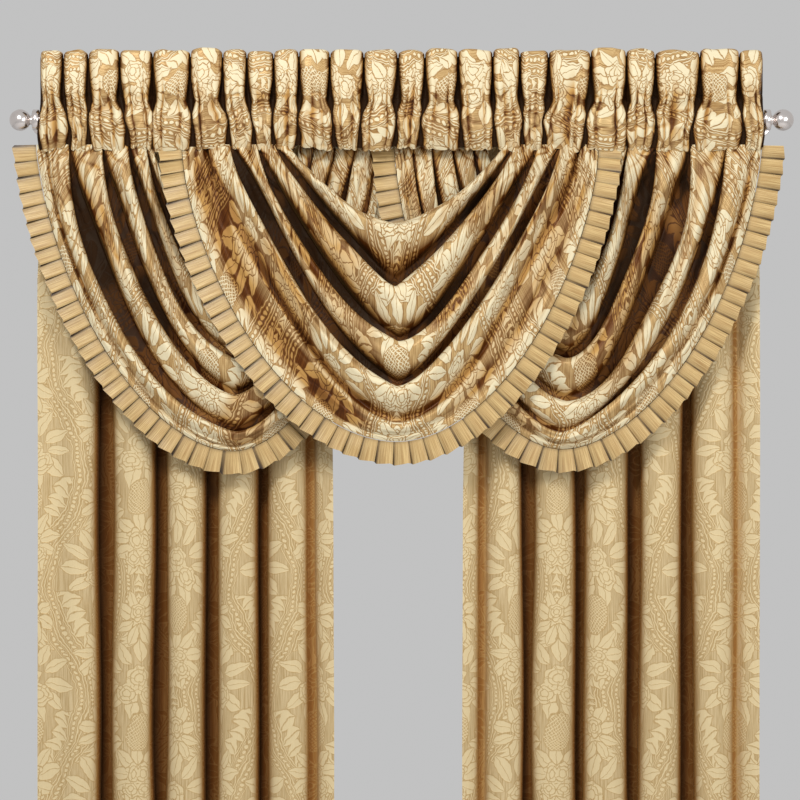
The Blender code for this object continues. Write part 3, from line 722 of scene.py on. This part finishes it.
def heading_surface(first_x, puffs, seed):
    """A heading: columns cross the puffs and rows go up the front of its section and down the
    back. A puff is half of a squarish superellipse, so its face is flat and the slit beside it is
    narrow and deep. Below, each slit wanders on down the pocket, with one or two more sharp
    gathers from each puff between them."""
    rng = np.random.default_rng(seed)
    turn, end = TOP_STATION + 0.2, len(HEADING_SECTION) - 1.0
    w = np.concatenate([np.linspace(0.0, turn, 118), np.linspace(turn, end, 34)[1:]])
    out, up, swell, rise, gather = (
        through_rows([getattr(s, n) for s in HEADING_SECTION], w) for n in Station._fields
    )
    front = (w < TOP_STATION) * 1.0
    low = ease((0.062 - up) / 0.09)
    edges = first_x + np.concatenate([[0.0], np.cumsum(puffs)])
    drift = rng.uniform(-0.010, 0.010, len(edges))
    for i, edge in enumerate(edges):
        near = min(VALLEY_STARTS, key=lambda start: abs(start - edge))
        if abs(near - edge) < VALLEY_NEAR:
            drift[i] = near - edge
    drift[0], drift[-1] = -0.004, 0.003
    line = [
        edge + d * low + 0.0035 * front * low * uneven(up / 0.030, 3.0 * i, seed)
        for i, (edge, d) in enumerate(zip(edges, drift))
    ]
    angle = np.linspace(0.0, np.pi, PUFF_COLUMNS)
    side = 0.5 - 0.5 * np.sign(np.cos(angle)) * np.abs(np.cos(angle)) ** SQUARISH
    bulge = np.sin(angle) ** SQUARISH
    rows, marks = [], []
    for i, wide in enumerate(puffs):
        parts = round(wide / GATHER_PITCH)
        inner = (np.arange(1, parts) + rng.uniform(-0.2, 0.2, parts - 1)) / parts
        roll = arcs(side, np.concatenate([[0.0], inner, [1.0]]))
        tall = rng.uniform(-0.004, 0.002)
        proud = rng.uniform(0.82, 1.08)
        skew = rng.uniform(-1.0, 1.0)
        taper = np.array([0.02, rng.uniform(0.12, 0.27), rng.uniform(0.02, 0.06), 0.0, 0.01])
        neck = np.interp(up, [0.012, 0.038, 0.085, 0.125, 0.145], taper) * front
        parting = ease((-up - 0.004) / 0.050) * front
        neck = neck + PARTING / wide * parting
        slit = 0.0008 + rng.uniform(0.0, 0.0014) * ease((up - 0.030) / 0.02) * front
        span = line[i + 1] - line[i]
        place = 0.5 + (side[:, None] - 0.5) * (1.0 - neck)
        x = line[i] + slit + place * (span - 2.0 * slit)
        lean = ease((up - 0.03) / 0.06) * (0.15 - up) / 0.15 * front
        x = x + 0.007 * skew * bulge[:, None] * lean
        forward = out + swell * proud * bulge[:, None]
        small = gather * (roll[:, None] - 0.7)
        in_pocket = front * ease((0.085 - up) / 0.035) * ease((up + 0.056) / 0.02)
        shear = up * (14.0 + 30.0 * uneven(x / 0.05, 4.5, seed + 9))
        knit = np.abs(uneven(x / 0.015 + shear, up / 0.034, seed + 5))
        pressed = ease(1.0 - knit / 0.30) * in_pocket
        crush = 0.0030 * uneven(x / 0.020 + shear, up / 0.026, seed + 10) * in_pocket
        crush = crush - 0.0034 * pressed
        wave = 0.0016 * uneven(x / 0.03, up / 0.035, seed + 6) * front * ease((up + 0.056) / 0.02)
        ruffle = (tall - 0.010 * (1.0 - bulge[:, None])) * ease((up - 0.09) / 0.05)
        z = up + rise * bulge[:, None] + ruffle
        z = z + 0.003 * uneven(x / 0.022, 0.5, seed + 7) * ease((up - 0.10) / 0.04)
        hem = 0.0060 * uneven(x / 0.04, 2.5, seed + 8) - 0.0075 * roll[:, None] - 0.0020
        z = z + hem * ease((-up - 0.02) / 0.03)
        total = forward + small + crush + wave
        on_rod = np.sqrt(np.maximum(ROD_CLEAR**2 - up**2, 0.0)) + 0.0 * total
        held_off = np.where(front > 0.0, np.maximum(total, on_rod), np.minimum(total, -on_rod))
        total = np.where(on_rod > 0.0, held_off, total)
        y = -(ROD_OUT + total)
        if i == 0:
            x[0] = line[0]
        if i == len(puffs) - 1:
            x[-1] = line[-1]
        rows.append(np.stack([x, y, z], axis=-1))
        # Painted shade: in the slits beside the puffs, along the parted lower edge, and in the
        # pinches and pressed lines of the gathers.
        open_at = ease((up - 0.016) / 0.02) + parting
        shade = (1.0 - bulge[:, None]) ** 1.1 * open_at * 1.3
        pinch_shade = (1.0 - roll[:, None]) ** 2.0 * gather / 0.0085 + 0.22 * pressed
        marks.append(np.clip(shade + pinch_shade, 0.0, 1.0))
    return np.concatenate(rows), np.concatenate(marks)


# The turned colours, the shade and the near-black colour with its share are painted shade, laid on
# by the shade mask in the folds.
SWAG_SHADES = {
    "ground": "#D0B27E", "slub": "#8E6534", "motif": "#E5DABB", "motif_low": "#D6C7A0",
    "outline": "#8A6234", "shade": "#9C6A36", "painted_shade": "#1E0E04", "gloss": 0.10,
    "turned_shade_ground": "#835A34", "turned_shade_motif": "#D8B27C", "painted_shade_share": 0.96,
}
HEADING_X = {"left": -0.7650, "centre": -0.5267, "right": 0.4756}
swag_damask = woven_damask("swag_satin_damask", SWAG_SHADES, (0.0, 170.0))
for number, word in ((31, "left"), (37, "centre"), (41, "right")):
    first_x = HEADING_X[word]
    grid, painted_shade = heading_surface(first_x, PUFFS[word], number)
    along_rod = np.broadcast_to(walked(grid[:, 60:61], 0) + 0.2 * number, grid.shape[:2])
    mesh = cloth_mesh(f"gathered_heading_{word}", grid, walked(grid, 1), along_rod, painted_shade)
    heading = place_piece(mesh, swag_damask, "damask", f"heading_{word}")
    length = 1.25 * sum(PUFFS[word])


# The swags.
# Each is one cut of damask whose two sides are gathered up into the heading, so that the middle
# falls in deep cowl folds. Down the arms the folds are round ridges with dark gaps, and at the
# bottom each turns over its lip and tucks back under it. The centre one laps over the others.

SEAM_Z = -0.0525
NECK_ROLL = 0.35
NECK_BACK = 0.026

# One crest of a swag. left, right: where it leaves the heading; low_x, low_z: its lowest point;
# point: how pointed it is there, 1 being round; slant: how far from upright it leaves the heading;
# lift: its height as a share of a full fold; dip: how deep the cloth falls before the next crest;
# open_left, open_low, open_right: how wide that valley gapes, from 0 to 1, and 0 if left out.
Crest = namedtuple(
    "Crest", "left low_x low_z right point slant lift dip open_left open_low open_right",
    defaults=(0.0, 0.0, 0.0),
)

# Where the layers of a swag stand in front of the wall: along the heading, the valleys below it,
# and how far the crests stand proud.
Depths = namedtuple("Depths", "top hang full")

# A soft trough (sink above 0) or ridge (below 0) from one place of a swag to another: theta in
# half turns from the left end, v in crests; wide: in crests; sink: in metres.
Crease = namedtuple("Crease", "theta_a v_a theta_b v_b wide sink")

# A swag: its crests from the lower edge up, and its depths at both ends and the lowest point.
Swag = namedtuple("Swag", "name crests left low right creases")

SWAGS = (
    Swag(
        name="left",
        crests=[Crest(*row) for row in (
            (-0.766, -0.351, -0.701, -0.004, 1.10, 1.30, 0.30, 0.12),
            (-0.720, -0.349, -0.672, -0.029, 1.20, 1.25, 0.90, 0.90, 0.60, 0.24, 0.20),
            (-0.648, -0.344, -0.596, -0.076, 1.20, 1.40, 1.00, 1.00, 0.42, 0.25, 0.20),
            (-0.588, -0.346, -0.522, -0.118, 1.20, 1.50, 1.00, 1.00, 0.48, 0.25, 0.20),
            (-0.543, -0.349, -0.430, -0.162, 1.25, 1.45, 0.95, 0.90, 0.38, 0.25, 0.20),
            (-0.523, -0.349, -0.298, -0.208, 1.30, 1.60, 0.70, 0.00),
        )],
        left=Depths(0.157, 0.131, 0.047),
        low=Depths(0.157, 0.129, 0.047),
        right=Depths(0.1165, 0.117, 0.014),
        creases=[Crease(*row) for row in (
            (0.02, 0.45, 0.20, 0.60, 0.10, 0.010), (0.10, 0.55, 0.34, 0.70, 0.16, 0.008),
            (0.30, 0.35, 0.55, 0.55, 0.12, 0.006), (0.02, 2.05, 0.22, 1.95, 0.07, 0.008),
            (0.15, 3.10, 0.42, 3.00, 0.07, 0.006), (0.18, 1.95, 0.40, 2.10, 0.10, -0.004),
        )],
    ),
    Swag(
        name="centre",
        crests=[Crest(*row) for row in (
            (-0.458, -0.004, -0.680, 0.423, 1.05, 1.30, 0.15, 0.12),
            (-0.424, -0.004, -0.650, 0.400, 1.15, 1.50, 0.50, 0.45, 0.10, 0.10, 0.10),
            (-0.378, -0.004, -0.590, 0.355, 1.35, 1.90, 0.95, 1.00, 0.76, 0.28, 0.80),
            (-0.316, -0.004, -0.495, 0.319, 1.35, 1.75, 1.00, 1.00, 0.40, 0.22, 0.32),
            (-0.276, -0.004, -0.370, 0.260, 1.50, 1.80, 1.00, 0.95, 0.46, 0.20, 0.38),
            (-0.239, -0.004, -0.238, 0.228, 1.30, 1.90, 0.90, 0.00),
        )],
        left=Depths(0.159, 0.190, 0.055),
        low=Depths(0.159, 0.190, 0.055),
        right=Depths(0.159, 0.190, 0.055),
        creases=[Crease(*row) for row in (
            (0.04, 0.85, 0.40, 0.80, 0.42, 0.017), (0.01, 1.35, 0.16, 1.10, 0.14, 0.012),
            (0.60, 0.85, 0.92, 0.90, 0.34, 0.012), (0.84, 1.30, 0.99, 1.45, 0.14, 0.010),
            (0.30, 1.35, 0.48, 1.62, 0.14, 0.009), (0.52, 1.60, 0.72, 1.30, 0.14, 0.008),
            (0.02, 3.02, 0.30, 3.08, 0.07, 0.008), (0.20, 2.05, 0.42, 2.12, 0.08, 0.006),
            (0.60, 3.08, 0.86, 3.00, 0.08, 0.007), (0.70, 2.02, 0.97, 2.10, 0.08, 0.008),
            (0.03, 4.00, 0.25, 3.96, 0.06, 0.006), (0.22, 4.60, 0.62, 4.66, 0.20, 0.013),
            (0.36, 4.40, 0.64, 4.36, 0.14, 0.007), (0.30, 3.62, 0.66, 3.56, 0.16, 0.010),
            (0.38, 2.62, 0.70, 2.56, 0.14, 0.010),
        )],
    ),
    Swag(
        name="right",
        crests=[Crest(*row) for row in (
            (-0.008, 0.346, -0.697, 0.768, 1.10, 1.25, 0.30, 0.12),
            (0.017, 0.349, -0.668, 0.722, 1.20, 1.25, 0.90, 0.90, 0.20, 0.18, 0.38),
            (0.055, 0.353, -0.605, 0.643, 1.20, 1.20, 1.00, 0.95, 0.20, 0.25, 0.62),
            (0.097, 0.353, -0.522, 0.573, 1.20, 1.50, 1.00, 1.00, 0.20, 0.25, 0.56),
            (0.143, 0.349, -0.430, 0.497, 1.20, 1.40, 0.95, 0.90, 0.20, 0.25, 0.38),
            (0.185, 0.344, -0.298, 0.476, 1.30, 1.60, 0.70, 0.00),
        )],
        left=Depths(0.1235, 0.143, 0.014),
        low=Depths(0.157, 0.129, 0.047),
        right=Depths(0.157, 0.131, 0.047),
        creases=[Crease(*row) for row in (
            (0.80, 0.60, 0.98, 0.45, 0.10, 0.010), (0.66, 0.70, 0.90, 0.50, 0.16, 0.008),
            (0.45, 0.55, 0.66, 0.40, 0.12, 0.006), (0.78, 1.95, 0.98, 2.05, 0.07, 0.008),
            (0.58, 3.00, 0.85, 3.08, 0.07, 0.006), (0.60, 2.10, 0.82, 1.95, 0.10, -0.004),
        )],
    ),
)


# The crumple: the height of each kind of noise, its waves along and over the folds, and which
# step of the seed it takes.
CRUMPLE = ((0.0045, 3.0, 2.6, 1), (0.0030, 5.0, 7.0, 4), (0.0010, 18.0, 10.0, 2))


def swag_surface(swag, theta, v, seed=None):
    """Points of a swag. theta runs along the folds, from 0 at the left end over a quarter turn at
    the lowest point to a half turn at the right end; v runs across them, one for each crest.

    Each crest hangs as half of a superellipse. Between two crests the cloth follows fold_profile,
    so that the crests are broad rolls and the valleys narrow, and the valleys lie nearer to the
    crest below. Past the last crest the neckline turns over to the back. With a seed, the cloth
    also has its small creases, crumple and puckers. The second result is a painted shade mask,
    deepest in the valleys; with a seed it also darkens the troughs, pressed lines and puckers, is
    made lighter on the right arm, where the key light reaches, and is made patchy by noise."""
    last = len(swag.crests) - 1
    column = {name: [getattr(c, name) for c in swag.crests] for name in Crest._fields}
    k = np.clip(np.floor(v), 0, last - 1)
    phase = np.clip(v - k, 0.0, 1.0)
    over_edge = np.clip((v - last) / NECK_ROLL, 0.0, 1.0)
    dip = np.array(column["dip"])[k.astype(int)] * (v < last)
    low = np.sin(theta) ** 6
    dip = dip * (1.0 - 0.36 * low * (dip > 0.6))
    end_share = (np.cos(theta / 2.0) ** 2, 0.0, np.sin(theta / 2.0) ** 2)
    at_end = np.cos(theta) ** 2
    share = (at_end * (theta < np.pi / 2.0), 1.0 - at_end, at_end * (theta >= np.pi / 2.0))
    opens = ("open_left", "open_low", "open_right")
    gape = sum(w * np.array(column[n])[k.astype(int)] for w, n in zip(share, opens))
    gape = gape * (0.10 + 0.90 * ease(np.sin(theta) / 0.50))
    place, fall = fold_profile(phase, gape, dip)
    down = (0.20 + 0.26 * low) * np.minimum(dip, 1.0)
    s = k + place - down * fall
    s = np.where(v > last, last + 0.10 * np.sin(np.pi * over_edge / 2.0), s)
    if seed is not None:
        inner = ease(v / 0.8) * (1.0 - ease(v - last + 1.0) * 0.7)
        s = s + 0.16 * uneven(theta * 2.1, v * 0.9, seed) * inner * np.sin(theta) ** 0.5

    left, right, low_x, low_z, point, slant = (
        through_rows(column[n], s) for n in ("left", "right", "low_x", "low_z", "point", "slant")
    )
    across = np.abs(np.cos(theta)) ** (point + 0.15 * fall * dip)
    end = np.where(theta < np.pi / 2.0, left, right)
    x = HANG_X + low_x + (end - low_x) * across
    z = SEAM_Z + (low_z - SEAM_Z) * np.abs(np.sin(theta)) ** slant

    stations = (swag.left, swag.low, swag.right)
    top = sum(w * d.top for w, d in zip(end_share, stations))
    hang, full = (
        sum(w * getattr(d, n) for w, d in zip(share, stations)) for n in ("hang", "full")
    )
    drop = SEAM_Z - z
    opened = ease(drop / 0.09)
    valley = top + (hang - top) * opened
    proud = 0.008 + (full - 0.008) * opened
    lift = through_rows(column["lift"], np.minimum(s, last))
    out = valley + proud * lift * (1.0 - np.minimum(dip, 1.0) * fall)
    out = out - NECK_BACK * ease(drop / 0.05) * (1.0 - np.cos(np.pi * over_edge / 2.0))
    # Painted shade: deepest in the valleys, and less of it round the lowest point, above all
    # towards the next crest up.
    painted_shade = ease((dip * fall - 0.13) / 0.62) * ease(drop / 0.02 + 0.5)
    painted_shade = painted_shade * (1.0 - 0.28 * low) * (1.0 - 0.36 * low * ease((phase - 0.35) / 0.45))
    if seed is not None:
        # Painted light: less painted shade on the right arm, which the key light reaches, unevenly
        # by noise; then noise adds patches of painted shade over the body.
        lit = 0.12 + 0.26 * ease((theta / np.pi - 0.5) / 0.25)
        painted_shade = painted_shade * (1.0 - lit * (0.7 + 0.6 * uneven(theta * 3.0, v * 1.5, seed + 5)))
        body = ease(drop / 0.10) * ease(v / 0.5)
        painted_shade = painted_shade + 0.26 * ease((uneven(theta * 2.4, v * 1.2, seed + 7) - 0.10) / 0.5) * body
        for crease in swag.creases:
            share_a = (theta / np.pi - crease.theta_a) / (crease.theta_b - crease.theta_a)
            line = crease.v_a + (crease.v_b - crease.v_a) * share_a
            near = np.exp(-(((v - line) / crease.wide) ** 2))
            window = ease(share_a * 3.0 + 0.5) * ease((1.0 - share_a) * 3.0 + 0.5)
            out = out - crease.sink * near * window
            # Painted shade in each trough.
            painted_shade = painted_shade + 26.0 * crease.sink * near * window * (crease.sink > 0)
        for high, along, over_folds, step in CRUMPLE:
            out = out + high * uneven(theta * along, v * over_folds, seed + step) * body
        press = ease(1.0 - np.abs(uneven(theta * 6.0, v * 5.0, seed + 6)) / 0.22)
        press = press * body * (0.25 + 0.75 * ease((0.22 - drop) / 0.20))
        out = out - 0.0035 * press
        # Painted shade in the pressed lines.
        painted_shade = painted_shade + 0.30 * press
        pucker = np.abs(np.sin(v * np.pi * 2.5 + 2.5 * uneven(theta * 9.0, v * 2.0, seed + 3)))
        fade = np.exp(-drop / 0.035)
        out = out + 0.0050 * (pucker - 0.6) * fade
        # Painted shade between the puckers under the neckline.
        painted_shade = painted_shade + 0.9 * (1.0 - pucker) ** 2 * fade
    return np.stack([x, -out, z], axis=-1), np.clip(painted_shade, 0.0, 1.0)


# The end of an outer swag that goes on up behind the centre one, to its heading, in four rows.
TUCK_UP = 0.078
# The tucked rows get this much painted shade, as they lie behind the centre swag.
TUCK_SHADE = 0.40
TUCK_ROWS = 4
ROWS_OVER = 228
ROWS_ALONG = 269
PATTERN_SHIFT = {"left": 0.050, "centre": -0.018, "right": -0.070}
for number, swag in zip((51, 61, 71), SWAGS):
    last = len(swag.crests) - 1
    v = np.linspace(0.0, last + NECK_ROLL, ROWS_OVER)
    theta = np.linspace(0.0, np.pi, ROWS_ALONG)
    grid, painted_shade = swag_surface(swag, *np.meshgrid(theta, v, indexing="ij"), seed=number)
    rise = np.linspace(0.0, TUCK_UP, TUCK_ROWS + 1)[1:, None, None] * np.array([0.0, 0.0, 1.0])
    tucked = np.full((TUCK_ROWS, len(v)), TUCK_SHADE)
    if swag.name == "left":
        grid = np.concatenate([grid, grid[-1:] + rise])
        painted_shade = np.concatenate([painted_shade, tucked])
    if swag.name == "right":
        grid = np.concatenate([grid[:1] + rise[::-1], grid])
        painted_shade = np.concatenate([tucked, painted_shade])
    along = walked(grid, 0)
    along = along - along[len(along) // 2] + PATTERN_SHIFT[swag.name]
    walk = walked(grid, 1)
    across = 0.5 * walk + 0.5 * walk.mean(axis=0)
    mesh = cloth_mesh(f"swag_body_{swag.name}", grid, along, across, painted_shade)
    body = place_piece(mesh, swag_damask, "damask", f"swag_{swag.name}")


# The trim.
# A ribbed satin ribbon, 50 mm wide, is laid in knife pleats 31 mm apart and sewn along the lower
# edge of each swag. Each pleat lies over the next one's fold, so that it stands proud at one side,
# and the outer edge fans out round the curve.

SEAM_POINTS = 1200
TRIM_WIDE = 0.0495
PLEAT_PITCH = 0.031
PLEAT_RISE = 0.0060
PLEAT_LAP = 0.06
SEAM_GAP = 0.0012
TRIM_ROWS = 9
TRIM_GROUND = "#D3B67C"
TRIM_SLUB = "#A27E47"
TRIM_PATCH = "#BC9860"
# A painted shade colour, laid where one pleat tucks under the next and along the seam.
TRIM_FOLD_SHADE = "#2E1B0A"


def ribbed_satin():
    """Ribbed satin ribbon: horizontal slubs in two golds, and painted shade where one pleat tucks
    under the next and along the seam."""
    made, tree, shader = new_material(
        "ribbed_satin_ribbon", Sheen_Weight=0.2, Specular_IOR_Level=0.5, Roughness=0.42
    )
    add = partial(add_node, tree)
    flat = add("UVMap", uv_map="flat")
    split = add("SeparateXYZ", flat)
    along = add("Math MULTIPLY", split.node.outputs[1], 14.0)
    ribs = add("CombineXYZ", add("Math MULTIPLY", split, 900.0), along)
    rib = add("TexNoise", ribs, None, 1.0, 3.0)
    streak = add("MapRange", rib, 0.36, 0.64)
    colour = add("MixRGB", streak, linear(TRIM_SLUB), linear(TRIM_GROUND))
    patch = add("TexNoise", flat, None, 26.0, 2.0)
    patch = add("MapRange", patch, 0.4, 0.7, 0.0, 0.35)
    colour = add("MixRGB", patch, colour, linear(TRIM_PATCH))
    # Painted shade, by the mask from trim_surface.
    painted_shade = add("Attribute", out=2, attribute_name="painted_shade")
    colour = add("MixRGB", painted_shade, colour, linear(TRIM_FOLD_SHADE))
    tree.links.new(colour, shader.inputs["Base Color"])
    relief = add("Bump", 0.4, 0.0004, None, streak)
    tree.links.new(relief, shader.inputs["Normal"])
    return made


def trim_surface(swag, seed):
    """The pleated ribbon: its section along the seam is a zigzag, a long rise on each pleat's
    face and a short tuck back under it, and its rows reach outwards from the seam."""
    theta = np.linspace(0.0, np.pi, SEAM_POINTS)
    seam, _ = swag_surface(swag, theta, np.zeros_like(theta))
    length = walked(seam, 0)
    pleats = round(length[-1] / PLEAT_PITCH)
    pitch = length[-1] / pleats
    lapped = 1.0 + PLEAT_LAP
    shape_at = np.array([0.0, 0.09, 0.13, 0.20, 0.60, 0.90, lapped, lapped, 0.98])
    shape_up = np.array([0.02, 0.08, 0.20, 0.42, 0.78, 0.96, 1.00, 0.82, 0.02])
    # How much painted shade lies at each place across a pleat, most at the tuck.
    shape_shade = np.array([1.0, 1.0, 0.85, 0.30, 0.04, 0.0, 0.08, 0.9, 1.0])
    rng = np.random.default_rng(seed)
    start = np.arange(pleats) * pitch + rng.uniform(-0.0016, 0.0016, pleats)
    start[0] = 0.0
    grow = rng.uniform(0.75, 1.2, pleats)[:, None]
    at = (start[:, None] + shape_at * pitch).ravel()
    up = (shape_up * PLEAT_RISE * grow).ravel()
    dark = np.tile(shape_shade, pleats)
    keep = at <= length[-1]
    at, up, dark = at[keep], up[keep], dark[keep]
    before, path, after = (
        np.stack([np.interp(at + step, length, seam[:, i]) for i in range(3)], axis=1)
        for step in (-0.004, 0.0, 0.004)
    )
    run = after - before
    outward = np.stack([run[:, 2], np.zeros(len(at)), -run[:, 0]], axis=1)
    outward /= np.linalg.norm(outward, axis=1)[:, None]
    reach = np.linspace(0.0, 1.0, TRIM_ROWS)
    step_out = np.interp((at / pitch) % 1.0, [0.0, 0.15, 1.0], [0.94, 1.05, 0.95])
    wobble = step_out + 0.015 * uneven(at / 0.05, 0.0, seed + 1)
    rows = []
    for share in reach:
        ripple = 0.0016 * share * uneven(at / 0.04, share * 2.0, seed + 2)
        lifted = up * (0.35 + 0.65 * share) + ripple
        far = SEAM_GAP + (TRIM_WIDE - SEAM_GAP) * share * wobble
        forward = np.stack([0.0 * lifted, -lifted, 0.0 * lifted], axis=1)
        rows.append(path + outward * far[:, None] + forward)
    grid = np.stack(rows, axis=1)
    # Painted shade: stronger towards the outer edge, and a band of it along the seam.
    painted_shade = dark[:, None] * (0.55 + 0.45 * reach) + 0.35 * np.exp(-reach / 0.05)
    flat_x = np.broadcast_to(at[:, None], grid.shape[:2])
    flat_y = np.broadcast_to(reach * TRIM_WIDE, grid.shape[:2])
    return grid, flat_x, flat_y, painted_shade, at[-1]


ribbon = ribbed_satin()
for number, swag in zip((81, 91, 101), SWAGS):
    grid, flat_x, flat_y, painted_shade, length = trim_surface(swag, number)
    mesh = cloth_mesh(f"pleated_trim_{swag.name}", grid, flat_x, flat_y, np.clip(painted_shade, 0, 1))
    trim = place_piece(mesh, ribbon, "slub_trim", f"trim_{swag.name}")


# The studio: a pale floor below the hems, even light all round, a large soft light from the upper
# left and a weaker one from the right. The camera looks straight on with a long lens.

MM_PER_PIXEL = 2.117
VIEW_X = -0.0034
VIEW_Z = -0.593
CAMERA_FAR = 7.0
FRONT_Y = -0.16
FLOOR_WIDE = 9.6
FLOOR_GAP = 0.02
FLOOR_GREY = "#D8D8D8"
WORLD_GREY = "#D6D6D6"
WORLD_LIGHT = 0.80

floor_z = cad_box[0][2] - FLOOR_GAP
bpy.ops.mesh.primitive_plane_add(size=FLOOR_WIDE, location=(0.0, 0.0, floor_z))
floor = bpy.context.object
floor.name = "studio_floor"
floor.data.transform(floor.matrix_world)
floor.matrix_world.identity()
pale, _, floor_shader = new_material("pale_floor_paint", Roughness=0.8)
floor_shader.inputs["Base Color"].default_value = linear(FLOOR_GREY)
floor.data.materials.append(pale)

world = bpy.data.worlds.new("studio_world")
world.use_nodes = True
light_round = world.node_tree.nodes["Background"]
light_round.inputs["Color"].default_value = linear(WORLD_GREY)
light_round.inputs["Strength"].default_value = WORLD_LIGHT
bpy.context.scene.world = world

Lamp = namedtuple("Lamp", "name place aim size watts")
LAMPS = (
    Lamp("key_light", (-1.1, -3.2, 1.5), (0.0, -0.15, -0.40), 0.9, 85.0),
    Lamp("fill_light", (2.0, -3.2, 0.3), (0.1, -0.15, -0.6), 1.4, 46.0),
)
for lamp in LAMPS:
    light = bpy.data.lights.new(lamp.name, "AREA")
    light.size = lamp.size
    light.energy = lamp.watts
    holder = bpy.data.objects.new(lamp.name, light)
    holder.location = lamp.place
    aim = Vector(lamp.aim) - Vector(lamp.place)
    holder.rotation_euler = aim.to_track_quat("-Z", "Y").to_euler()
    bpy.context.scene.collection.objects.link(holder)

view = bpy.data.cameras.new("camera")
view.sensor_width = 36.0
view.lens = view.sensor_width * CAMERA_FAR / (0.8 * MM_PER_PIXEL)
camera = bpy.data.objects.new("camera", view)
camera.location = (VIEW_X, FRONT_Y - CAMERA_FAR, VIEW_Z)
camera.rotation_euler = (math.pi / 2.0, 0.0, 0.0)
bpy.context.scene.collection.objects.link(camera)
bpy.context.scene.camera = camera
bpy.context.scene.view_settings.view_transform = "Standard"
